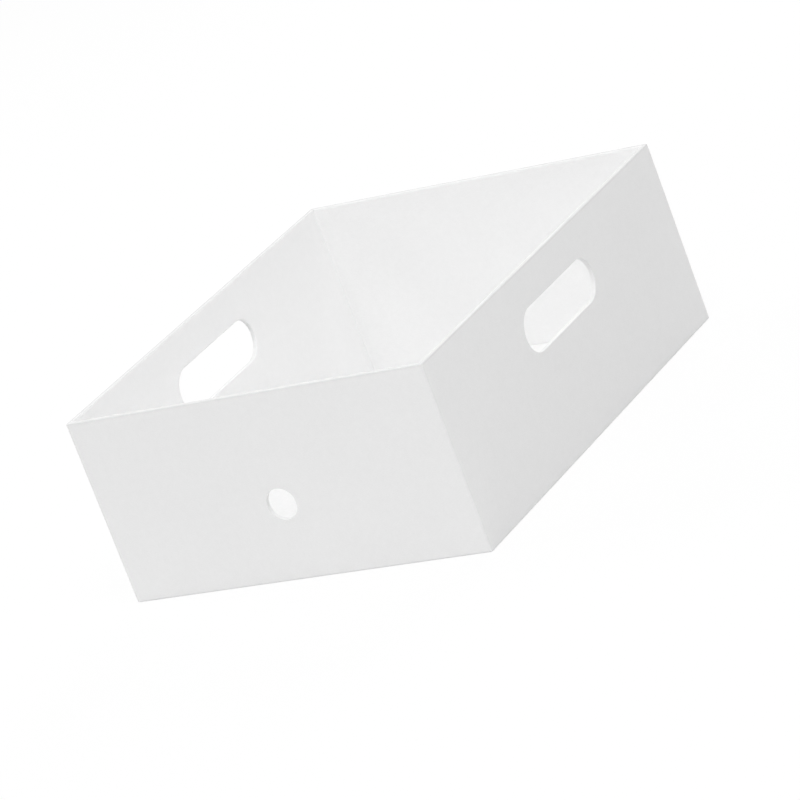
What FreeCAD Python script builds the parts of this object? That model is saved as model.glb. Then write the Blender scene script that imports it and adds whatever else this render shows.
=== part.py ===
import FreeCAD, Part
import math
import os
from types import SimpleNamespace

import Sketcher
from FreeCAD import Placement, Rotation, Vector

# An open file storage box of rigid board covered with white paper. It lies with its floor down: X runs
# across the front, Y from front to back, Z up, and the origin is in the middle of the underside.
# Four wall boards stand round a base board. One strip of cover paper goes round the walls, over the rim,
# through the two hand slots and the finger hole, and under the foot. Sheets line the walls and the floor,
# paper stays hold the four corners, and a sheet closes the underside.

SIZES = [
    ("box_width", 252, "outside, across the front"),
    ("box_depth", 320, "outside, front to back"),
    ("box_height", 120, "outside, underside to rim"),
    ("board_thick", 2.5, "wall boards"),
    ("base_thick", 2.5, "base board"),
    ("wrap_thick", 0.25, "cover paper"),
    ("lining_thick", 0.25, "sheets inside the box"),
    ("sheet_thick", 0.25, "sheet under the box"),
    ("corner_round", 1.2, "radius of the wrapped vertical corners"),
    ("board_edge_round", 0.5, "radius of the pressed edges of the boards, at the rim and the foot"),
    ("rim_turn_in", 12, "cover paper inside the rim"),
    ("foot_turn_under", 15, "cover paper under the foot"),
    ("hole_turn_in", 7, "cover paper round a hole, on the inside"),
    ("slit_gap", 0.3, "cuts that let the cover paper turn, and its seam"),
    ("petal_gap", 3.5, "opening of a cut round a hole, at its wide end"),
    ("slot_length", 95, "hand slot, end to end"),
    ("slot_height", 28, "hand slot, the diameter of its round ends"),
    ("slot_below_rim", 37, "rim to the middle of a hand slot"),
    ("finger_hole_diameter", 20, "finger hole in the front"),
    ("finger_hole_height", 49, "underside to the middle of the finger hole"),
    ("lining_below_rim", 1.2, "bare turned-in paper above a lining"),
    ("lining_hole_margin", 0.6, "bare turned-in paper round a hole"),
    ("lining_gap", 0.3, "between sheets that meet in a corner"),
    ("base_fit", 0.1, "play of the base board between the walls"),
    ("stay_leg", 20, "each leg of a corner stay"),
    ("stay_gap", 1, "corner stay to the turned-in paper above it"),
    ("infill_gap", 0.5, "infill to the turned-under paper round it"),
    ("underside_inset", 3, "underside sheet to the outer faces"),
]

# The cover paper is cut this often round a hole, so that it can turn in as petals.
PETAL_ANGLE = 30
# A cut runs past what it cuts by this much, so that no thin skin is left.
RUN_PAST = 1
# A fillet takes at most this share of the corner that it runs into.
FILLET_SHARE = 0.9
# Points closer than this lie in the same place.
SAME_PLACE = 0.001

# How a sketch numbers its own axes, and the origin as the first point of one.
ORIGIN_NUMBERS = (-1, 1)
ACROSS_AXIS_NUMBER = -1
UP_AXIS_NUMBER = -2

doc = FreeCAD.newDocument("file_storage_box")
sheet = doc.addObject("Spreadsheet::Sheet", "sizes")
for row, (alias, millimetres, meaning) in enumerate(SIZES, start=1):
    sheet.set(f"A{row}", alias)
    sheet.set(f"B{row}", str(millimetres))
    sheet.setAlias(f"B{row}", alias)
    sheet.set(f"C{row}", meaning)
doc.recompute()


class Size:
    """A length: the expression that binds it to the sheet, and what it comes to now."""

    def __init__(self, text, value):
        self.text = text
        self.value = value

    def __add__(self, other):
        other = as_size(other)
        return Size(f"({self.text} + {other.text})", self.value + other.value)

    def __sub__(self, other):
        other = as_size(other)
        return Size(f"({self.text} - {other.text})", self.value - other.value)

    def __rmul__(self, number):
        return Size(f"({number} * {self.text})", number * self.value)

    def __truediv__(self, number):
        return Size(f"({self.text} / {number})", self.value / number)

    def __neg__(self):
        return -1 * self


def as_size(length):
    return length if isinstance(length, Size) else Size(str(length), float(length))


def least(one, other):
    """The smaller of two sizes."""
    return Size(f"min({one.text}; {other.text})", min(one.value, other.value))


sizes = SimpleNamespace(**{
    alias: Size(f"sizes.{alias}", float(sheet.get(alias))) for alias, _, _ in SIZES
})

no_margin = as_size(0)

# Faces in the thickness of a wall, measured from the outside of the box inwards.
board_inset = sizes.wrap_thick
inner_inset = board_inset + sizes.board_thick
turned_inset = inner_inset + sizes.wrap_thick
lined_inset = turned_inset + sizes.lining_thick

# Heights.
foot = sizes.sheet_thick
board_foot = foot + sizes.wrap_thick
floor_board_top = board_foot + sizes.base_thick
board_top = sizes.box_height - sizes.wrap_thick
turn_in_foot = board_top - sizes.rim_turn_in
slot_middle = sizes.box_height - sizes.slot_below_rim

# Radii. The paper bends round the boards at a constant thickness.
board_corner_round = sizes.corner_round - sizes.wrap_thick
board_round = least(sizes.board_edge_round, FILLET_SHARE * board_corner_round)
wrap_round = least(board_round + sizes.wrap_thick, FILLET_SHARE * sizes.corner_round)


# Sketches


def new_body(name):
    body = doc.addObject("PartDesign::Body", name)
    body.Label = name
    return body


def plane_of(body, role):
    return next(plane for plane in body.Origin.OriginFeatures if plane.Role == role)


def sketch_on(body, role, name, across=None, up=None, out=None, turn=0):
    """A sketch on one of the body's own planes, moved in that plane and out of it, and turned in it."""
    sketch = body.newObject("Sketcher::SketchObject", f"{body.Name}_{name}")
    sketch.AttachmentSupport = [(plane_of(body, role), "")]
    sketch.MapMode = "FlatFace"
    sketch.AttachmentOffset = Placement(Vector(), Rotation(Vector(0, 0, 1), turn))
    for axis, length in (("x", across), ("y", up), ("z", out)):
        if length is not None:
            sketch.setExpression(f"AttachmentOffset.Base.{axis}", length.text)
    return sketch


def relate(sketch, kind, *places):
    sketch.addConstraint(Sketcher.Constraint(kind, *places))


def hold(sketch, length, kind, *places):
    """Hold a length in the sketch at its size in the sheet."""
    number = sketch.addConstraint(Sketcher.Constraint(kind, *places, length.value))
    sketch.setExpression(f"Constraints[{number}]", length.text)


def line(start, end):
    return Part.LineSegment(Vector(*start, 0), Vector(*end, 0))


def arc(centre, radius, start_angle, end_angle):
    circle = Part.Circle(Vector(*centre, 0), Vector(0, 0, 1), radius)
    return Part.ArcOfCircle(circle, math.radians(start_angle), math.radians(end_angle))


def polygon(sketch, corners):
    """A closed row of lines, and the numbers that the sketch gives them."""
    first = sketch.GeometryCount
    numbers = range(first, first + len(corners))
    for start, end in zip(corners, corners[1:] + corners[:1]):
        sketch.addGeometry(line(start, end), False)
    for one, following in zip(numbers, [*numbers[1:], first]):
        relate(sketch, "Coincident", one, 2, following, 1)
    return numbers


def rectangle(sketch, width, height, bottom=None):
    """A rectangle centred across the sketch, and centred up it too unless its bottom is given."""
    w = width.value / 2
    low = bottom.value if bottom else -height.value / 2
    high = low + height.value
    base, right, top, left = polygon(sketch, [(-w, low), (w, low), (w, high), (-w, high)])
    relate(sketch, "Symmetric", base, 1, base, 2, UP_AXIS_NUMBER)
    relate(sketch, "Symmetric", top, 1, top, 2, UP_AXIS_NUMBER)
    hold(sketch, width, "DistanceX", base, 1, base, 2)
    hold(sketch, height, "DistanceY", right, 1, right, 2)
    if bottom:
        relate(sketch, "Vertical", right)
        hold(sketch, bottom, "DistanceY", *ORIGIN_NUMBERS, base, 1)
    else:
        relate(sketch, "Symmetric", right, 1, right, 2, ACROSS_AXIS_NUMBER)


def rounded_rectangle(sketch, width, height, radius):
    """A rectangle with round corners, centred in the sketch."""
    w, h, r = width.value / 2, height.value / 2, radius.value
    first = sketch.GeometryCount
    sides = base, right, top, left = range(first, first + 4)
    corners = range(first + 4, first + 8)
    sketch.addGeometry(line((r - w, -h), (w - r, -h)), False)
    sketch.addGeometry(line((w, r - h), (w, h - r)), False)
    sketch.addGeometry(line((w - r, h), (r - w, h)), False)
    sketch.addGeometry(line((-w, h - r), (-w, r - h)), False)
    for number, centre in enumerate([(w - r, r - h), (w - r, h - r), (r - w, h - r), (r - w, r - h)]):
        sketch.addGeometry(arc(centre, r, 90 * number - 90, 90 * number), False)
    for number, corner in enumerate(corners):
        relate(sketch, "Tangent", sides[number], 2, corner, 1)
        relate(sketch, "Tangent", corner, 2, sides[(number + 1) % 4], 1)
    for side in (base, top):
        relate(sketch, "Horizontal", side)
    for side in (right, left):
        relate(sketch, "Vertical", side)
    for corner in corners[1:]:
        relate(sketch, "Equal", corners[0], corner)
    relate(sketch, "Symmetric", corners[0], 3, corners[2], 3, *ORIGIN_NUMBERS)
    hold(sketch, radius, "Radius", corners[0])
    hold(sketch, width, "DistanceX", left, 1, right, 1)
    hold(sketch, height, "DistanceY", base, 1, top, 1)


def angle(sketch, leg, thick):
    """An L with its outer corner at the sketch's origin."""
    far, near = leg.value, thick.value
    corners = [(0, 0), (far, 0), (far, near), (near, near), (near, far), (0, far)]
    lines = polygon(sketch, corners)
    for number in lines[0::2]:
        relate(sketch, "Horizontal", number)
    for number in lines[1::2]:
        relate(sketch, "Vertical", number)
    relate(sketch, "Coincident", lines[0], 1, *ORIGIN_NUMBERS)
    relate(sketch, "Equal", lines[0], lines[5])
    relate(sketch, "Equal", lines[1], lines[4])
    hold(sketch, leg, "DistanceX", lines[0], 1, lines[0], 2)
    hold(sketch, thick, "DistanceY", lines[1], 1, lines[1], 2)


def notch(sketch, tip, reach, gap):
    """A V below the sketch's origin, with its point at the tip distance, as wide as the gap at its reach.
    It runs on past its reach."""
    whole_reach = reach + RUN_PAST
    half_gap = (gap.value / 2) * whole_reach.value / reach.value
    low = -tip.value - whole_reach.value
    first, base, last = polygon(sketch, [(0, -tip.value), (-half_gap, low), (half_gap, low)])
    relate(sketch, "Symmetric", base, 1, base, 2, UP_AXIS_NUMBER)
    relate(sketch, "PointOnObject", first, 1, UP_AXIS_NUMBER)
    hold(sketch, tip, "DistanceY", first, 1, *ORIGIN_NUMBERS)
    hold(sketch, whole_reach, "DistanceY", first, 2, first, 1)
    wide = Size(f"({gap.text} * {whole_reach.text} / {reach.text})", 2 * half_gap)
    hold(sketch, wide, "DistanceX", base, 1, base, 2)


def long_hole(sketch, length, height, middle):
    """A slot with round ends, centred across the sketch."""
    r = height.value / 2
    reach = length.value / 2 - r
    z = middle.value
    first = sketch.GeometryCount
    base, right, top, left = range(first, first + 4)
    sketch.addGeometry(line((-reach, z - r), (reach, z - r)), False)
    sketch.addGeometry(arc((reach, z), r, -90, 90), False)
    sketch.addGeometry(line((reach, z + r), (-reach, z + r)), False)
    sketch.addGeometry(arc((-reach, z), r, 90, 270), False)
    for one, following in ((base, right), (right, top), (top, left), (left, base)):
        relate(sketch, "Tangent", one, 2, following, 1)
    relate(sketch, "Equal", right, left)
    relate(sketch, "Symmetric", right, 3, left, 3, UP_AXIS_NUMBER)
    hold(sketch, height / 2, "Radius", right)
    hold(sketch, length - height, "DistanceX", left, 3, right, 3)
    hold(sketch, middle, "DistanceY", *ORIGIN_NUMBERS, right, 3)


def round_hole(sketch, diameter, middle):
    """A circle centred across the sketch."""
    centre = Vector(0, middle.value, 0)
    circle = sketch.addGeometry(Part.Circle(centre, Vector(0, 0, 1), diameter.value / 2), False)
    relate(sketch, "PointOnObject", circle, 3, UP_AXIS_NUMBER)
    hold(sketch, diameter, "Diameter", circle)
    hold(sketch, middle, "DistanceY", *ORIGIN_NUMBERS, circle, 3)


def hand_slot(sketch, margin):
    """The outline of a hand slot, wider all round by a margin."""
    long_hole(sketch, sizes.slot_length + 2 * margin, sizes.slot_height + 2 * margin, slot_middle)


def finger_hole(sketch, margin):
    """The outline of the finger hole, wider all round by a margin."""
    round_hole(sketch, sizes.finger_hole_diameter + 2 * margin, sizes.finger_hole_height)


def no_hole(sketch, margin):
    """The outline of nothing, for the wall without a hole."""


# Features


def feature(body, kind, name, sketch, length, inwards=False):
    made = body.newObject(f"PartDesign::{kind}", f"{body.Name}_{name}")
    made.Profile = sketch
    made.setExpression("Length", length.text)
    made.Reversed = inwards
    made.Refine = True
    doc.recompute()
    return made


def pad(body, name, sketch, length, inwards=False):
    return feature(body, "Pad", name, sketch, length, inwards)


def pocket(body, name, sketch, length):
    """Cut from the sketch inwards. The cut has to take material away."""
    before = body.Shape.Volume
    made = feature(body, "Pocket", name, sketch, length)
    if not body.Shape.Volume < before:
        raise ValueError(f"{made.Name} cuts nothing")
    return made


def fillet(body, name, radius, wanted):
    """Round those edges of the body that a test picks out."""
    base = body.Tip
    edges = [f"Edge{number}" for number, edge in enumerate(base.Shape.Edges, start=1) if wanted(edge)]
    made = body.newObject("PartDesign::Fillet", f"{body.Name}_{name}")
    made.Base = (base, edges)
    made.setExpression("Radius", radius.text)
    doc.recompute()
    return made


def repeat(body, name, originals, *steps):
    """Repeat features of a body by a chain of mirrors and turns, and make that the body's tip."""
    chain = body.newObject("PartDesign::MultiTransform", f"{body.Name}_{name}")
    chain.Originals = originals
    chain.Transformations = list(steps)
    chain.Refine = True
    body.Tip = chain
    doc.recompute()
    return chain


def mirror(body, name, role):
    made = doc.addObject("PartDesign::Mirrored", f"{body.Name}_{name}")
    made.MirrorPlane = (plane_of(body, role), [""])
    return made


def turns(body, name, sketch, whole_angle, times):
    """Turns about the line that stands on a sketch's origin."""
    made = doc.addObject("PartDesign::PolarPattern", f"{body.Name}_{name}")
    made.Axis = (sketch, ["N_Axis"])
    made.Angle = whole_angle
    made.Occurrences = times
    return made


def middle_of(edge):
    return edge.valueAt((edge.FirstParameter + edge.LastParameter) / 2)


def level(edge, axis, place):
    """Whether an edge lies wholly at one place along an axis."""
    points = [edge.valueAt(edge.FirstParameter), middle_of(edge), edge.valueAt(edge.LastParameter)]
    return all(abs(getattr(point, axis) - place.value) < SAME_PLACE for point in points)


def hole_edges(shape):
    """The edges round the holes in a shape's upright flat faces."""
    upright = [face for face in shape.Faces if abs(face.normalAt(0, 0).z) < SAME_PLACE]
    inner_wires = [wire for face in upright for wire in face.Wires if not wire.isSame(face.OuterWire)]
    return [edge for wire in inner_wires for edge in wire.Edges]


def among(edge, edges):
    return any(edge.isSame(other) for other in edges)


# Walls
# Each is modelled as the front one is, and turned about the middle of the box to its place.

WALLS = {
    "front": SimpleNamespace(turn=0, span=sizes.box_depth, across=sizes.box_width,
                             hole=finger_hole, board_end=inner_inset),
    "right": SimpleNamespace(turn=90, span=sizes.box_width, across=sizes.box_depth,
                             hole=hand_slot, board_end=board_inset),
    "back": SimpleNamespace(turn=180, span=sizes.box_depth, across=sizes.box_width,
                            hole=no_hole, board_end=inner_inset),
    "left": SimpleNamespace(turn=270, span=sizes.box_width, across=sizes.box_depth,
                            hole=hand_slot, board_end=board_inset),
}


def put_round(body, wall):
    body.Placement = Placement(Vector(), Rotation(Vector(0, 0, 1), wall.turn))


def wall_board(name, wall):
    """A wall board. The long ones run the whole depth, and the short ones stand between them."""
    body = new_body(name)
    sketch = sketch_on(body, "XZ_Plane", "outline", out=wall.span / 2 - board_inset)
    rectangle(sketch, wall.across - 2 * wall.board_end, board_top - board_foot, board_foot)
    wall.hole(sketch, sizes.wrap_thick)
    pad(body, "board", sketch, sizes.board_thick, inwards=True)

    outer_face = board_inset - wall.span / 2
    inner_face = inner_inset - wall.span / 2
    if wall.board_end is board_inset:
        end = wall.across / 2 - wall.board_end

        def box_corner(edge):
            return level(edge, "y", outer_face) and (level(edge, "x", end) or level(edge, "x", -end))

        fillet(body, "box_corners", board_corner_round, box_corner)

    def pressed(edge):
        outside_of_foot = level(edge, "z", board_foot) and not level(edge, "y", inner_face)
        return level(edge, "z", board_top) or outside_of_foot

    fillet(body, "pressed_edges", board_round, pressed)
    put_round(body, wall)


def wall_lining(name, wall):
    """The inside sheet of a wall, laid on the turned-in paper and standing on the base board."""
    body = new_body(name)
    sketch = sketch_on(body, "XZ_Plane", "outline", out=wall.span / 2 - turned_inset)
    top = sizes.box_height - sizes.lining_below_rim
    width = wall.across - 2 * (lined_inset + sizes.lining_gap)
    rectangle(sketch, width, top - floor_board_top, floor_board_top)
    wall.hole(sketch, sizes.lining_hole_margin)
    pad(body, "paper", sketch, sizes.lining_thick, inwards=True)
    put_round(body, wall)


# Flat sheets


def flat_sheet(name, low, thick, inset):
    """A level rectangle, drawn in all round by an inset from the outer faces of the box."""
    body = new_body(name)
    sketch = sketch_on(body, "XY_Plane", "outline", out=low)
    rectangle(sketch, sizes.box_width - 2 * inset, sizes.box_depth - 2 * inset)
    pad(body, "flat", sketch, thick)


# Corner stays


def corner_stay(name, side, end, turn):
    """A paper angle in an inside corner, from the base board to below the turned-in paper."""
    body = new_body(name)
    sketch = sketch_on(body, "XY_Plane", "outline")
    angle(sketch, sizes.stay_leg, sizes.wrap_thick)
    pad(body, "paper", sketch, turn_in_foot - sizes.stay_gap - floor_board_top)
    body.Placement = Placement(Vector(), Rotation(Vector(0, 0, 1), turn))
    body.setExpression("Placement.Base.x", (side * (sizes.box_width / 2 - inner_inset)).text)
    body.setExpression("Placement.Base.y", (end * (sizes.box_depth / 2 - inner_inset)).text)
    body.setExpression("Placement.Base.z", floor_board_top.text)


# Cover paper


def inset_is(edge, *insets):
    """Whether the middle of an edge lies at one of some insets from the outer faces of the box."""
    point = middle_of(edge)
    inset = min(sizes.box_width.value / 2 - abs(point.x), sizes.box_depth.value / 2 - abs(point.y))
    return any(abs(inset - wanted.value) < SAME_PLACE for wanted in insets)


def in_wall(edge):
    """Whether the middle of an edge lies in the thickness of a wall."""
    point = middle_of(edge)
    wall = turned_inset.value + SAME_PLACE
    return (sizes.box_width.value / 2 - abs(point.x) < wall
            or sizes.box_depth.value / 2 - abs(point.y) < wall)


def ring(body, name, low, height, outer_end, inner_end):
    """A level ring of paper between two insets from the outer faces of the box."""
    sketch = sketch_on(body, "XY_Plane", name + "_outline", out=low)
    for inset in (outer_end, inner_end):
        width = sizes.box_width - 2 * inset
        depth = sizes.box_depth - 2 * inset
        if inset.value < sizes.corner_round.value:
            rounded_rectangle(sketch, width, depth, sizes.corner_round - inset)
        else:
            rectangle(sketch, width, depth)
    pad(body, name, sketch, height)


def turned_hole(body, name, role, span, hole):
    """Cover paper turned through a hole and spread round it on the inside."""
    inside = span / 2 - turned_inset
    through = sketch_on(body, role, name + "_through", out=inside)
    hole(through, sizes.wrap_thick)
    spread = sketch_on(body, role, name + "_spread", out=inside)
    hole(spread, sizes.hole_turn_in)
    opening = sketch_on(body, role, name + "_opening", out=span / 2)
    hole(opening, no_margin)
    return [
        pad(body, name + "_sleeve", through, turned_inset),
        pad(body, name + "_flange", spread, sizes.wrap_thick),
        pocket(body, name + "_cut", opening, turned_inset),
    ]


def petal_cut(body, name, role, span, radius, across, up):
    """One V in the paper spread round a hole, below the middle of the hole's round end."""
    sketch = sketch_on(body, role, name + "_notch", across=across, up=up, out=span / 2 - inner_inset)
    notch(sketch, radius + sizes.wrap_thick, sizes.hole_turn_in - sizes.wrap_thick, sizes.petal_gap)
    return sketch, pocket(body, name + "_notch_cut", sketch, sizes.wrap_thick)


def mitre(body, name, top, depth, inner_end):
    """A slit from each corner of the box inwards, so that the turned paper lies flat."""
    middle_inset = (sizes.corner_round + inner_end) / 2
    sketch = sketch_on(body, "XY_Plane", name + "_slit", across=sizes.box_width / 2 - middle_inset,
                       up=sizes.box_depth / 2 - middle_inset, out=top, turn=45)
    rectangle(sketch, math.sqrt(2) * (inner_end - sizes.corner_round), sizes.slit_gap)
    slit = pocket(body, name + "_slit_cut", sketch, depth)
    repeat(body, name + "_mitres", [slit], mirror(body, name + "_sideways", "YZ_Plane"),
           mirror(body, name + "_endways", "XZ_Plane"))


def seam(body):
    """The ends of the strip meet beside a back corner, where they are least seen."""
    beside_corner = sizes.corner_round + sizes.slit_gap / 2
    sketch = sketch_on(body, "XY_Plane", "seam", across=beside_corner - sizes.box_width / 2,
                       up=(sizes.box_depth - turned_inset) / 2, out=sizes.box_height)
    rectangle(sketch, sizes.slit_gap, turned_inset + RUN_PAST)
    pocket(body, "seam_cut", sketch, sizes.box_height)


def outer_wrap():
    body = new_body("outer_wrap")
    ring(body, "sides", foot, sizes.box_height - foot, no_margin, board_inset)
    ring(body, "over_rim", board_top, sizes.wrap_thick, no_margin, turned_inset)
    ring(body, "inside_rim", turn_in_foot, sizes.box_height - turn_in_foot, inner_inset, turned_inset)
    ring(body, "under_foot", foot, sizes.wrap_thick, no_margin, sizes.foot_turn_under)
    turned_hole(body, "finger_hole", "XZ_Plane", sizes.box_depth, finger_hole)
    slot = turned_hole(body, "hand_slot", "YZ_Plane", sizes.box_width, hand_slot)
    repeat(body, "other_hand_slot", slot, mirror(body, "slot_sideways", "YZ_Plane"))

    # Where the paper lies against the pressed edges of the boards, and then where it is seen to bend.
    fillet(body, "inner_bends", board_round,
           lambda edge: level(edge, "z", board_top) or (level(edge, "z", board_foot) and in_wall(edge)))
    fillet(body, "outer_bends", wrap_round,
           lambda edge: level(edge, "z", sizes.box_height) or (level(edge, "z", foot) and in_wall(edge)))
    # The boards are cut sharp round the holes, so there the paper bends as sharply as it can.
    around_holes = hole_edges(body.Tip.Shape)
    fillet(body, "hole_bends", sizes.wrap_thick,
           lambda edge: among(edge, around_holes) and inset_is(edge, no_margin, turned_inset))

    middle, cut = petal_cut(body, "finger_hole", "XZ_Plane", sizes.box_depth,
                            sizes.finger_hole_diameter / 2, no_margin, sizes.finger_hole_height)
    repeat(body, "finger_hole_petals", [cut],
           turns(body, "round_the_hole", middle, 360, 360 // PETAL_ANGLE))
    slot_end = (sizes.slot_length - sizes.slot_height) / 2
    middle, cut = petal_cut(body, "hand_slot", "YZ_Plane", sizes.box_width,
                            sizes.slot_height / 2, slot_end, slot_middle)
    repeat(body, "hand_slot_petals", [cut],
           turns(body, "round_the_end", middle, 180, 1 + 180 // PETAL_ANGLE),
           mirror(body, "petals_endways", "XZ_Plane"),
           mirror(body, "petals_sideways", "YZ_Plane"))
    mitre(body, "rim", sizes.box_height, sizes.box_height - turn_in_foot, turned_inset + RUN_PAST)
    mitre(body, "foot", board_foot, sizes.wrap_thick, sizes.foot_turn_under + RUN_PAST)
    seam(body)


flat_sheet("base_board", board_foot, sizes.base_thick, inner_inset + sizes.base_fit)
for side, wall in WALLS.items():
    wall_board(side + "_board", wall)
    wall_lining(side + "_lining", wall)
corner_stay("corner_stay_front_left", -1, -1, 0)
corner_stay("corner_stay_front_right", 1, -1, 90)
corner_stay("corner_stay_back_right", 1, 1, 180)
corner_stay("corner_stay_back_left", -1, 1, 270)
outer_wrap()
flat_sheet("floor_lining", floor_board_top, sizes.lining_thick, lined_inset + sizes.lining_gap)
flat_sheet("underside_infill", foot, sizes.wrap_thick, sizes.foot_turn_under + sizes.infill_gap)
flat_sheet("underside_sheet", no_margin, sizes.sheet_thick, sizes.underside_inset)

# Everything has to be sound before anything is written.
doc.recompute()
for item in doc.Objects:
    if {"Invalid", "Error"} & set(item.State):
        raise ValueError(f"{item.Name} has failed: {item.getStatusString()}")
bodies = doc.findObjects("PartDesign::Body")
for body in bodies:
    if body.Shape.isNull() or not body.Shape.isValid() or len(body.Shape.Solids) != 1:
        raise ValueError(f"{body.Label} is not one sound solid")
os.makedirs("parts", exist_ok=True)
for body in bodies:
    body.Shape.exportStep(f"parts/{body.Label}.step")
    print(f"{body.Label}: {body.Shape.Volume / 1000:.2f} cm3")
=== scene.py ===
import math
from itertools import pairwise
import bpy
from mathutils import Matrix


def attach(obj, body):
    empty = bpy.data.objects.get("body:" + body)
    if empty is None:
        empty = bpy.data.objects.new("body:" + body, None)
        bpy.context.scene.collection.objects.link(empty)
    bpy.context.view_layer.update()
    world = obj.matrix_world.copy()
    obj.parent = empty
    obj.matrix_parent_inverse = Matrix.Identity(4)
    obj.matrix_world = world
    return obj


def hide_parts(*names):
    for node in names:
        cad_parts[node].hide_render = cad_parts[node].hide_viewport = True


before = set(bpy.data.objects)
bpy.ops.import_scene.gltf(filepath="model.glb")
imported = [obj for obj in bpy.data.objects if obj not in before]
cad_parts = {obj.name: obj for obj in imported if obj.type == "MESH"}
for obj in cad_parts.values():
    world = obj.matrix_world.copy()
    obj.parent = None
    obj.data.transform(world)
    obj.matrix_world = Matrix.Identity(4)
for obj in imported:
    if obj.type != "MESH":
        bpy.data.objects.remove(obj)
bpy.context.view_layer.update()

from types import SimpleNamespace

import bmesh
import bpy
import numpy as np
from mathutils import Euler, Matrix, Vector
from mathutils.geometry import delaunay_2d_cdt

# A white file storage box of board covered with paper. X runs across the front, Y from front to back, Z up.
# The paper that shows, which is the cover round the walls and the four wall linings, is built here as thin
# sheets. They bend over the rim and into the holes, and follow what lies under them. The boards and the flat
# sheets are the solids of the frame, with materials of their own.

# Sizes of the box in millimetres, and angles in degrees
MM = 0.001
WIDTH = 252
DEPTH = 320
HEIGHT = 120
PAPER = 0.25
BOARD = 2.5
CORNER_ROUND = 1.2
EDGE_ROUND = 0.75
FOOT = PAPER
FOOT_TURN_UNDER = 15
RIM_TURN_IN = 12
SEAM_GAP = 0.3
MITRE_GAP = 0.12
STAY_LEG = 20

SLOT_LENGTH = 95
SLOT_HEIGHT = 28
SLOT_MIDDLE = 83
FINGER_HOLE_WIDTH = 20
FINGER_HOLE_MIDDLE = 49
HOLE_BEND = 0.3
HOLE_TURN_IN = 7
PETAL_ANGLE = 30
PETAL_GAP = 3.5

LINING_FOOT = 3
LINING_BELOW_RIM = 1.2
LINING_HOLE_MARGIN = 0.6
# A lining sinks towards the board, over the reach of this step, from the edge of a sheet under it.
LINING_SINK = 0.12
STEP_REACH = 8.0

# Depths of the inner sides of board, turned-in paper and lining, from the outer face of a wall
BOARD_INSIDE = PAPER + BOARD
TURNED = BOARD_INSIDE + PAPER
LINED = TURNED + PAPER
# Heights of the lower edge of the paper that is turned in over the rim, and of the upper edge of the linings
TURN_IN_FOOT = HEIGHT - PAPER - RIM_TURN_IN
LINING_TOP = HEIGHT - LINING_BELOW_RIM

# Fineness of the meshes: faces in a quarter bend, points round half a hole, and spacing in millimetres
BEND_FACES = 6
HOLE_POINTS = 24
FINE = 1
COARSE = 14
SAME_POINT = 0.004
FLAT_MESH_ACCURACY = 1e-6
INSIDE_TRIANGLES = 1
SHARP_ANGLE = math.radians(35)


# Walls and sheets

# Each wall is built as the front one is, and turned about the middle of the box. A place in a wall is its
# distance across the wall, its height and its depth inwards from the outer face. A hole is given by half the
# length of its straight part, the radius of its ends and the height of its middle. The linings of the long
# walls run from end to end, and those of the short walls stand between them.
HAND_SLOT = SimpleNamespace(reach=(SLOT_LENGTH - SLOT_HEIGHT) / 2, radius=SLOT_HEIGHT / 2, middle=SLOT_MIDDLE)
FINGER_HOLE = SimpleNamespace(reach=0, radius=FINGER_HOLE_WIDTH / 2, middle=FINGER_HOLE_MIDDLE)
WALLS = [
    SimpleNamespace(name="front", across=WIDTH, span=DEPTH, hole=FINGER_HOLE, lining_end=LINED, seam=0),
    SimpleNamespace(name="right", across=DEPTH, span=WIDTH, hole=HAND_SLOT, lining_end=TURNED, seam=0),
    SimpleNamespace(name="back", across=WIDTH, span=DEPTH, hole=None, lining_end=LINED, seam=SEAM_GAP),
    SimpleNamespace(name="left", across=DEPTH, span=WIDTH, hole=HAND_SLOT, lining_end=TURNED, seam=0),
]
for number, wall in enumerate(WALLS):
    wall.turn = Matrix.Rotation(math.radians(90 * number), 3, "Z")


def place(wall, across, height, depth):
    """A place in a wall as a point in metres."""
    return wall.turn @ Vector((across, depth - wall.span / 2, height)) * MM


class Skin:
    """The shown side of a sheet, as faces given by their corners."""

    def __init__(self):
        self.corners = []
        self.faces = []

    def add(self, *corners):
        first = len(self.corners)
        self.corners += corners
        self.faces.append(range(first, first + len(corners)))

    def strip(self, one, other):
        """Quads between two rows of points."""
        for (a, b), (c, d) in zip(pairwise(one), pairwise(other)):
            self.add(a, b, d, c)


def put_in_order(elements, key):
    """Sorts the corners, edges or faces of a mesh, so that they come out alike each time."""
    for number, element in enumerate(sorted(elements, key=key)):
        element.index = number
    elements.sort()


def solid_sheet(name, skin):
    """A sheet of paper as thick as it really is, behind its shown side."""
    mesh = bmesh.new()
    corners = [mesh.verts.new(corner) for corner in skin.corners]
    for face in skin.faces:
        mesh.faces.new([corners[number] for number in face])
    bmesh.ops.remove_doubles(mesh, verts=mesh.verts, dist=SAME_POINT * MM)
    bmesh.ops.dissolve_degenerate(mesh, edges=mesh.edges, dist=SAME_POINT / 2 * MM)
    bmesh.ops.solidify(mesh, geom=mesh.faces[:], thickness=PAPER * MM)
    put_in_order(mesh.verts, lambda corner: corner.co[:])
    for elements in (mesh.edges, mesh.faces):
        put_in_order(elements, lambda element: sorted(corner.index for corner in element.verts))
    for face in mesh.faces:
        face.smooth = True
    for edge in mesh.edges:
        edge.smooth = len(edge.link_faces) == 2 and edge.calc_face_angle(math.pi) < SHARP_ANGLE
    data = bpy.data.meshes.new(name)
    mesh.to_mesh(data)
    mesh.free()
    piece = bpy.data.objects.new(name, data)
    bpy.context.scene.collection.objects.link(piece)
    flat = piece.modifiers.new("flat_faces_stay_flat", "WEIGHTED_NORMAL")
    flat.keep_sharp = True
    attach(piece, "root")
    return piece


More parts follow.
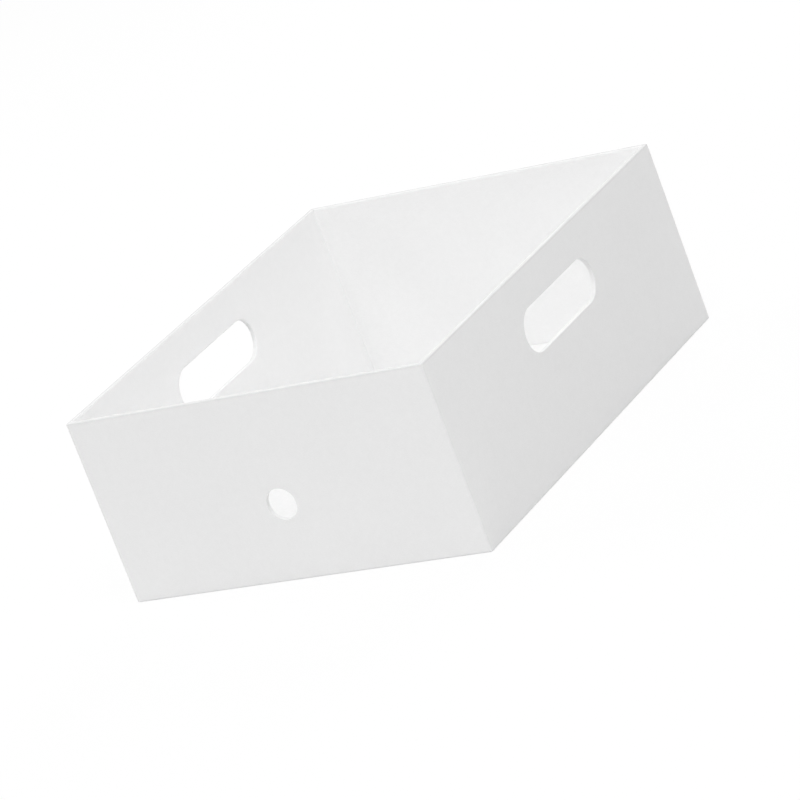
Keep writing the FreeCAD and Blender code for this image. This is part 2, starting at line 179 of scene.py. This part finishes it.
def outline(hole, offset):
    """Points round a hole, moved outwards by an offset, from the bottom of its right end upwards."""
    radius = hole.radius + offset
    points = []
    for centre, start in ((hole.reach, -90), (-hole.reach, 90)):
        for angle in np.linspace(start, start + 180, HOLE_POINTS + 1):
            across = centre + radius * math.cos(math.radians(angle))
            height = hole.middle + radius * math.sin(math.radians(angle))
            points.append(Vector((across, height)))
    return points


def from_hole(hole, across, height):
    """Distance of a place from the edge of a hole, less than 0 inside it."""
    if hole is None:
        return math.inf
    beyond = max(abs(across) - hole.reach, 0)
    return math.hypot(beyond, height - hole.middle) - hole.radius


def flat_mesh(points, loops, hole, offset):
    """Triangles of a flat region with closed loops as its edges, without what lies in the hole."""
    edges = []
    for start, end in loops:
        numbers = list(range(start, end))
        edges += list(zip(numbers, numbers[1:] + numbers[:1]))
    places, _, faces, *_ = delaunay_2d_cdt(points, edges, [], INSIDE_TRIANGLES, FLAT_MESH_ACCURACY)
    for face in faces:
        middle = sum((places[number] for number in face), Vector((0, 0))) / 3
        if from_hole(hole, *middle) >= offset:
            yield [places[number] for number in face]


# The cover paper

def bend(centre_depth, centre_height, start, end):
    """Depths and heights round a bend, whose angle is 0 towards the inside of the box and 90 upwards."""
    for angle in np.linspace(math.radians(start), math.radians(end), BEND_FACES + 1):
        yield (centre_depth + EDGE_ROUND * math.cos(angle), centre_height + EDGE_ROUND * math.sin(angle))


def cover_profile():
    """Depths and heights of the cover paper, from inside the rim, over it and down to under the foot."""
    rim = HEIGHT - EDGE_ROUND
    foot = FOOT + EDGE_ROUND
    return [
        (TURNED, TURN_IN_FOOT),
        *bend(TURNED - EDGE_ROUND, rim, 0, 90),
        (CORNER_ROUND, HEIGHT),
        *bend(EDGE_ROUND, rim, 90, 180),
        *bend(EDGE_ROUND, foot, 180, 270),
        (CORNER_ROUND, FOOT),
        (FOOT_TURN_UNDER, FOOT),
    ]


def left_end(wall, depth):
    """Half the straight length of a wall at some depth: round corners take the rest, or else the mitres."""
    mitre = MITRE_GAP / 2 if depth > CORNER_ROUND else 0
    return wall.across / 2 - max(CORNER_ROUND, depth) - mitre


def right_end(wall, depth):
    """The same on the right, where the cover's seam may shorten it."""
    return min(left_end(wall, depth), left_end(wall, 0) - wall.seam)


def straight_row(wall, depth, height):
    """The two ends of the straight part of a wall."""
    return [
        place(wall, -left_end(wall, depth), height, depth),
        place(wall, right_end(wall, depth), height, depth),
    ]


def corner_row(wall, depth, height):
    """Points round the corner at the wall's right end."""
    radius = max(CORNER_ROUND - depth, 0)
    centre = wall.across / 2 - CORNER_ROUND
    return [
        place(wall, centre + radius * math.sin(angle), height, CORNER_ROUND - radius * math.cos(angle))
        for angle in np.linspace(0, math.pi / 2, BEND_FACES + 1)
    ]


def cover_panel(skin, wall, low, high):
    """The outer face of a wall, between the bends of rim and foot, with its hole."""
    left = -left_end(wall, 0)
    right = right_end(wall, 0)
    points = [Vector(corner) for corner in ((left, low), (right, low), (right, high), (left, high))]
    loops = [(0, len(points))]
    if wall.hole:
        points += outline(wall.hole, HOLE_BEND)
        loops.append((loops[0][1], len(points)))
    for corners in flat_mesh(points, loops, wall.hole, HOLE_BEND):
        skin.add(*(place(wall, across, height, 0) for across, height in corners))


def hole_sleeve(skin, wall):
    """The cover paper that bends into a hole, goes through it and bends out again on the inside."""
    quarter = np.linspace(0, math.pi / 2, BEND_FACES // 2 + 1)
    outer = [(HOLE_BEND * (1 - math.sin(angle)), HOLE_BEND * (1 - math.cos(angle))) for angle in quarter]
    inner = [(offset, TURNED - depth) for offset, depth in reversed(outer)]
    rows = []
    for offset, depth in outer + inner:
        row = [place(wall, *point, depth) for point in outline(wall.hole, offset)]
        rows.append(row + row[:1])
    for one, other in pairwise(rows):
        skin.strip(one, other)


def petals(skin, wall):
    """The cover paper spread round a hole on the inside, cut into petals that part as they go outwards."""
    near = outline(wall.hole, HOLE_BEND)
    far = outline(wall.hole, HOLE_TURN_IN)
    count = len(near)
    per_petal = HOLE_POINTS * PETAL_ANGLE // 180
    starts = [end * (HOLE_POINTS + 1) + step for end in (0, 1) for step in range(0, HOLE_POINTS, per_petal)]
    runs = [(start, start + per_petal) for start in starts]
    if wall.hole.reach:
        runs += [(HOLE_POINTS, HOLE_POINTS + 1), (count - 1, count)]
    for start, end in runs:
        numbers = [number % count for number in range(start, end + 1)]
        tip = [far[number] for number in numbers]
        pull = (tip[-1] - tip[0]).normalized() * (PETAL_GAP / 2)
        pulls = [pull * (1 - 2 * share) for share in np.linspace(0, 1, len(tip))]
        skin.strip([place(wall, *near[number], TURNED) for number in numbers],
                   [place(wall, *(point + moved), TURNED) for point, moved in zip(tip, pulls)])


def cover_paper():
    """The shown side of the cover, wall by wall."""
    skin = Skin()
    for wall in WALLS:
        for (depth, height), (next_depth, next_height) in pairwise(cover_profile()):
            if max(depth, next_depth) < SAME_POINT:
                cover_panel(skin, wall, next_height, height)
            else:
                skin.strip(straight_row(wall, next_depth, next_height), straight_row(wall, depth, height))
            if min(depth, next_depth) < CORNER_ROUND:
                skin.strip(corner_row(wall, next_depth, next_height), corner_row(wall, depth, height))
        if wall.hole:
            hole_sleeve(skin, wall)
            petals(skin, wall)
    return skin


# Wall linings

def smooth(share):
    """A share from 0 to 1 with an even start and end."""
    share = min(max(share, 0), 1)
    return share * share * (3 - 2 * share)


def stay_edge(wall):
    """Distance across a wall of the edges of the corner stays."""
    return wall.across / 2 - BOARD_INSIDE - STAY_LEG


def lining_depth(wall, across, height):
    """Depth of a lining's shown side. It lies on the turned-in paper, and sinks a little beside it."""
    beside = min(
        TURN_IN_FOOT - height,
        stay_edge(wall) - abs(across),
        from_hole(wall.hole, across, height) - HOLE_TURN_IN,
    )
    return LINED - LINING_SINK * smooth(beside / STEP_REACH)


def spaced(low, high, step):
    """Places from low to high, close together over the reach of a step and wide apart elsewhere."""
    near_step = {at for at in np.arange(step - STEP_REACH, step + FINE, FINE) if low < at < high}
    filled = [low]
    for at in sorted({low, high} | near_step):
        if at - filled[-1] > COARSE:
            filled += list(np.linspace(filled[-1], at, math.ceil((at - filled[-1]) / COARSE) + 1))[1:-1]
        if at - filled[-1] > FINE / 2 or at == high:
            filled.append(at)
    return filled


def lining_skin(wall):
    """The shown side of a lining, with points close together where it sinks."""
    half = spaced(0, wall.across / 2 - wall.lining_end, stay_edge(wall))
    columns = [-x for x in reversed(half[1:])] + half
    rows = spaced(LINING_FOOT, LINING_TOP, TURN_IN_FOOT)
    points = [Vector((x, rows[0])) for x in columns]
    points += [Vector((columns[-1], z)) for z in rows[1:]]
    points += [Vector((x, rows[-1])) for x in reversed(columns[:-1])]
    points += [Vector((columns[0], z)) for z in reversed(rows[1:-1])]
    loops = [(0, len(points))]
    clear = 0
    if wall.hole:
        points += outline(wall.hole, LINING_HOLE_MARGIN)
        loops.append((loops[0][1], len(points)))
        rings = np.arange(HOLE_TURN_IN, HOLE_TURN_IN + STEP_REACH + FINE / 2, FINE)
        for offset in rings:
            points += outline(wall.hole, offset)
        clear = rings[-1] + FINE / 2
    points += [
        Vector((x, z)) for x in columns[1:-1] for z in rows[1:-1] if from_hole(wall.hole, x, z) >= clear
    ]
    skin = Skin()
    for corners in flat_mesh(points, loops, wall.hole, LINING_HOLE_MARGIN):
        skin.add(*(place(wall, x, z, lining_depth(wall, x, z)) for x, z in reversed(corners)))
    return skin


# Materials

# Sizes of spots are in millimetres. Tones say how far the spots lighten or darken a surface.
CLOUD_SIZE = 45
CLOUD_TONE = 0.004
FORMATION_SIZE = 4
FORMATION_TONE = 0.007
FIBRE_SIZE = 0.5
FIBRE_TONE = 0.016
FIBRE_STRETCH = (0.35, 0.35, 1)
FIBRE_RELIEF = 0.6
TOOTH_SIZE = 1.4
TOOTH_RELIEF = 0.4
PAPER_ROUGHNESS = (0.756, 0.884)
PAPER_GLOSS = 0.25
PAPER_BUMP = 0.4
PAPER_BUMP_HEIGHT = 0.1

RUB_REACH = 1.6
RUB_SIZE = 12
RUB_SHARES = (0.6, 1.0)
RUB_TONE = 0.10

PULP_SIZE = 1.6
PULP_TONES = (0.74, 0.82)
SPECK_SIZE = 0.7
SPECK_SPAN = (0.66, 0.74)
SPECK_TONE = 0.10
BOARD_TINT = (1.0, 0.985, 0.95)
BOARD_ROUGHNESS = (0.85, 0.97)
BOARD_GLOSS = 0.2
BOARD_BUMP = 0.5
BOARD_BUMP_HEIGHT = 0.15

# Noise from 0 to 1 lies mostly in this span.
NOISE_SPAN = (0.3, 0.7)


class Nodes:
    """Adds nodes to a material and joins them."""

    def __init__(self, name):
        self.material = bpy.data.materials.new(name)
        self.material.use_nodes = True
        self.tree = self.material.node_tree
        self.shader = self.tree.nodes["Principled BSDF"]
        self.where = self.add("ShaderNodeTexCoord").outputs["Object"]

    def add(self, kind, **settings):
        node = self.tree.nodes.new(kind)
        for key, value in settings.items():
            setattr(node, key, value)
        return node

    def put(self, value, socket):
        """A number or a link into a socket."""
        if isinstance(value, bpy.types.NodeSocket):
            self.tree.links.new(value, socket)
        else:
            socket.default_value = value

    def reckon(self, operation, *values):
        node = self.add("ShaderNodeMath", operation=operation)
        for value, socket in zip(values, node.inputs):
            self.put(value, socket)
        return node.outputs[0]

    def total(self, first, *others):
        for other in others:
            first = self.reckon("ADD", first, other)
        return first

    def noise(self, size, detail=2.0, roughness=0.5, stretch=(1, 1, 1)):
        """Noise from 0 to 1 with spots of a size in millimetres."""
        scaled = self.add("ShaderNodeMapping")
        self.put(self.where, scaled.inputs["Vector"])
        self.put(stretch, scaled.inputs["Scale"])
        node = self.add("ShaderNodeTexNoise")
        self.put(scaled.outputs[0], node.inputs["Vector"])
        self.put(1 / (size * MM), node.inputs["Scale"])
        self.put(detail, node.inputs["Detail"])
        self.put(roughness, node.inputs["Roughness"])
        return node.outputs["Fac"]

    def ranged(self, value, low, high, to_low, to_high):
        node = self.add("ShaderNodeMapRange")
        for number, socket in zip((value, low, high, to_low, to_high), node.inputs):
            self.put(number, socket)
        return node.outputs[0]

    def spread(self, noise, low, high):
        return self.ranged(noise, *NOISE_SPAN, low, high)

    def rubbed_edges_and_painted_inside_light(self):
        """Two values. The first is 1 on the outer edges of the box and over its rim, and falls to 0 within
        the reach of a rub. The second goes from 0 to 1 round the inner bend of the rim, where the paper is
        painted whiter."""
        axes = self.add("ShaderNodeSeparateXYZ")
        self.put(self.where, axes.inputs[0])
        x, y, z = axes.outputs
        reach = RUB_REACH * MM
        from_side = self.reckon("SUBTRACT", WIDTH / 2 * MM, self.reckon("ABSOLUTE", x))
        from_end = self.reckon("SUBTRACT", DEPTH / 2 * MM, self.reckon("ABSOLUTE", y))
        from_corner = self.reckon("MAXIMUM", from_side, from_end)
        depth = self.reckon("MINIMUM", from_side, from_end)
        inside = self.ranged(depth, (TURNED - EDGE_ROUND) * MM, TURNED * MM, 0.0, 1.0)
        below_rim = self.reckon("SUBTRACT", HEIGHT * MM, z)
        from_rim = self.reckon("MAXIMUM", below_rim, self.reckon("MULTIPLY", inside, reach))
        from_rim_or_foot = self.reckon("MINIMUM", from_rim, z)
        nearest = self.reckon("MINIMUM", from_corner, from_rim_or_foot)
        return self.ranged(nearest, 0.0, reach, 1.0, 0.0), inside

    def finish(self, tone, tint, roughness, gloss, relief, bump, bump_height):
        """A tinted tone, a roughness, a gloss and a relief on the surface."""
        colour = self.add("ShaderNodeCombineColor")
        for share, socket in zip(tint, colour.inputs):
            self.put(self.reckon("MULTIPLY", tone, share), socket)
        self.put(colour.outputs[0], self.shader.inputs["Base Color"])
        self.put(roughness, self.shader.inputs["Roughness"])
        self.put(gloss, self.shader.inputs["Specular IOR Level"])
        bumps = self.add("ShaderNodeBump")
        self.put(bump, bumps.inputs["Strength"])
        self.put(bump_height * MM, bumps.inputs["Distance"])
        self.put(relief, bumps.inputs["Height"])
        self.put(bumps.outputs[0], self.shader.inputs["Normal"])
        return self.material


def paper(name, white, turned_in_white=None):
    """White uncoated paper, cloudy in its thickness and with fine fibres. Where hands touch it, it is rubbed
    a little at the edges. Round the inner bend of the rim it is painted as white as the lining, for the
    brighter light inside the box."""
    nodes = Nodes(name)
    cloud = nodes.noise(CLOUD_SIZE, detail=3)
    formation = nodes.noise(FORMATION_SIZE)
    fibres = nodes.noise(FIBRE_SIZE, detail=3, roughness=0.65, stretch=FIBRE_STRETCH)
    tone = nodes.total(
        nodes.spread(cloud, -CLOUD_TONE, CLOUD_TONE),
        nodes.spread(formation, -FORMATION_TONE, FORMATION_TONE),
        nodes.spread(fibres, -FIBRE_TONE, FIBRE_TONE),
        white,
    )
    if turned_in_white:
        edges, inside = nodes.rubbed_edges_and_painted_inside_light()
        rub = nodes.reckon("MULTIPLY", edges, nodes.spread(nodes.noise(RUB_SIZE, detail=4), *RUB_SHARES))
        tone = nodes.total(
            tone,
            nodes.reckon("MULTIPLY", rub, -RUB_TONE),
            # Painted light: the paper turned in over the rim is made as white as the lining, for the brighter
            # light inside the box.
            nodes.reckon("MULTIPLY", inside, turned_in_white - white),
        )
    relief = nodes.total(
        nodes.reckon("MULTIPLY", fibres, FIBRE_RELIEF),
        nodes.reckon("MULTIPLY", nodes.noise(TOOTH_SIZE), TOOTH_RELIEF),
    )
    roughness = nodes.spread(formation, *PAPER_ROUGHNESS)
    return nodes.finish(tone, (1, 1, 1), roughness, PAPER_GLOSS, relief, PAPER_BUMP, PAPER_BUMP_HEIGHT)


def board(name):
    """Pressed pulp board: pale, speckled and rough."""
    nodes = Nodes(name)
    pulp = nodes.noise(PULP_SIZE, detail=5, roughness=0.7)
    specks = nodes.ranged(nodes.noise(SPECK_SIZE), *SPECK_SPAN, 0.0, SPECK_TONE)
    tone = nodes.reckon("SUBTRACT", nodes.spread(pulp, *PULP_TONES), specks)
    roughness = nodes.spread(pulp, *BOARD_ROUGHNESS)
    return nodes.finish(tone, BOARD_TINT, roughness, BOARD_GLOSS, pulp, BOARD_BUMP, BOARD_BUMP_HEIGHT)


# The studio

# Places and lengths are in metres, angles in degrees and powers in watts. The camera stands before the
# front's right corner, looks down a little and is rolled. Soft lamps stand round the box, each given by its
# azimuth, its elevation and its power. A card lies on the table before the front and throws light up at it.
CAMERA_PLACE = (1.52453, -2.24280, 0.88745)
CAMERA_AZIMUTH = 34.299
CAMERA_ELEVATION = 17.330
CAMERA_ROLL = -20.900
CAMERA_LENS = 210.26

LAMPS = {
    "front": (0, 30, 8.2),
    "above_right": (45, 60, 22),
    "right": (90, 30, 6),
    "back": (180, 30, 18.5),
    "left": (270, 30, 22),
}
LAMP_DISTANCE = 2.2
LAMP_WIDTH = 1.3
CARD_WIDTH = 0.5
CARD_DEPTH = 0.3
CARD_HEIGHT = 0.001
CARD_WATTS = 0.055
ROOM_LIGHT = 0.33

FLOOR_REACH = 12
FLOOR_COLOUR = 0.85
FLOOR_GLOW = 0.94


def make_camera():
    camera = bpy.data.objects.new("camera", bpy.data.cameras.new("camera"))
    bpy.context.scene.collection.objects.link(camera)
    camera.data.lens = CAMERA_LENS
    camera.location = CAMERA_PLACE
    upright = Euler((math.radians(90 - CAMERA_ELEVATION), 0, math.radians(CAMERA_AZIMUTH))).to_matrix()
    roll = Matrix.Rotation(math.radians(CAMERA_ROLL), 3, "Z")
    camera.rotation_euler = (upright @ roll).to_euler()
    bpy.context.scene.camera = camera


def make_light(name, middle, away, width, depth, watts):
    """A soft light that shines against a direction."""
    data = bpy.data.lights.new(name, "AREA")
    data.shape = "RECTANGLE"
    data.size = width
    data.size_y = depth
    data.energy = watts
    light = bpy.data.objects.new(name, data)
    bpy.context.scene.collection.objects.link(light)
    light.location = middle
    light.rotation_euler = away.to_track_quat("Z", "Y").to_euler()
    light.visible_camera = False


def make_lights():
    for name, (azimuth, elevation, watts) in LAMPS.items():
        turn = math.radians(azimuth)
        rise = math.radians(elevation)
        away = Vector((math.sin(turn) * math.cos(rise), -math.cos(turn) * math.cos(rise), math.sin(rise)))
        middle = Vector((0, 0, HEIGHT / 2 * MM)) + away * LAMP_DISTANCE
        make_light(name, middle, away, LAMP_WIDTH, LAMP_WIDTH, watts)
    before_front = Vector((0, -DEPTH / 2 * MM - CARD_DEPTH / 2, CARD_HEIGHT))
    make_light("card", before_front, Vector((0, 0, -1)), CARD_WIDTH, CARD_DEPTH, CARD_WATTS)


def seen_share(tree):
    """1 for what the camera sees, straight on or in gloss and glass, and else 0."""
    path = tree.nodes.new("ShaderNodeLightPath")
    share = path.outputs["Is Camera Ray"]
    for kind in ("Is Glossy Ray", "Is Transmission Ray"):
        either = tree.nodes.new("ShaderNodeMath")
        either.operation = "MAXIMUM"
        tree.links.new(share, either.inputs[0])
        tree.links.new(path.outputs[kind], either.inputs[1])
        share = either.outputs[0]
    return share


def make_world():
    """A pale room, that looks white and lights the box evenly with less than that."""
    world = bpy.data.worlds.new("studio")
    bpy.context.scene.world = world
    world.use_nodes = True
    background = world.node_tree.nodes["Background"]
    background.inputs["Color"].default_value = (1, 1, 1, 1)
    strength = world.node_tree.nodes.new("ShaderNodeMath")
    strength.operation = "MAXIMUM"
    strength.inputs[1].default_value = ROOM_LIGHT
    world.node_tree.links.new(seen_share(world.node_tree), strength.inputs[0])
    world.node_tree.links.new(strength.outputs[0], background.inputs["Strength"])


def make_floor():
    """A pale floor. To the eye most of it glows white, and the rest of it keeps the box's shadow."""
    mesh = bpy.data.meshes.new("floor")
    corners = [(-1, -1), (1, -1), (1, 1), (-1, 1)]
    mesh.from_pydata([(x * FLOOR_REACH, y * FLOOR_REACH, 0) for x, y in corners], [], [(0, 1, 2, 3)])
    floor = bpy.data.objects.new("floor", mesh)
    bpy.context.scene.collection.objects.link(floor)
    material = bpy.data.materials.new("floor")
    material.use_nodes = True
    tree = material.node_tree
    tree.nodes.clear()
    end = tree.nodes.new("ShaderNodeOutputMaterial")
    pale = tree.nodes.new("ShaderNodeBsdfDiffuse")
    pale.inputs["Color"].default_value = (FLOOR_COLOUR, FLOOR_COLOUR, FLOOR_COLOUR, 1)
    glow = tree.nodes.new("ShaderNodeEmission")
    share = tree.nodes.new("ShaderNodeMath")
    share.operation = "MULTIPLY"
    share.inputs[1].default_value = FLOOR_GLOW
    mix = tree.nodes.new("ShaderNodeMixShader")
    tree.links.new(seen_share(tree), share.inputs[0])
    tree.links.new(share.outputs[0], mix.inputs["Fac"])
    tree.links.new(pale.outputs[0], mix.inputs[1])
    tree.links.new(glow.outputs[0], mix.inputs[2])
    tree.links.new(mix.outputs[0], end.inputs["Surface"])
    mesh.materials.append(material)


make_camera()
make_world()
make_floor()
make_lights()
bpy.context.scene.view_settings.view_transform = "Standard"


# The box

# The lining paper is whiter than the cover paper. Part of this is painted light, for the brighter light
# inside the box.
COVER_WHITE = 0.80
LINING_WHITE = 0.893
STAY_WHITE = 0.86
UNDERSIDE_WHITE = 0.88
MATERIALS = {
    "cover_paper": paper("cover_paper", COVER_WHITE, turned_in_white=LINING_WHITE),
    "lining_paper": paper("lining_paper", LINING_WHITE),
    "stay_paper": paper("stay_paper", STAY_WHITE),
    "underside_paper": paper("underside_paper", UNDERSIDE_WHITE),
    "board": board("board"),
}


def dress(piece, slot):
    piece.data.materials.clear()
    piece.data.materials.append(MATERIALS[slot])


def slot_of(node_name):
    for ending, slot in (("_board", "board"), ("_lining", "lining_paper")):
        if node_name.endswith(ending):
            return slot
    for beginning, slot in (("corner_stay", "stay_paper"), ("underside", "underside_paper")):
        if node_name.startswith(beginning):
            return slot
    return "cover_paper"


for name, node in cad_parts.items():
    dress(node, slot_of(name))
sheets = {"outer_wrap": solid_sheet("cover_sheet", cover_paper())}
for wall in WALLS:
    sheets[wall.name + "_lining"] = solid_sheet(wall.name + "_lining_sheet", lining_skin(wall))
for name, piece in sheets.items():
    dress(piece, slot_of(name))
    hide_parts(name)
    slot_of(name)
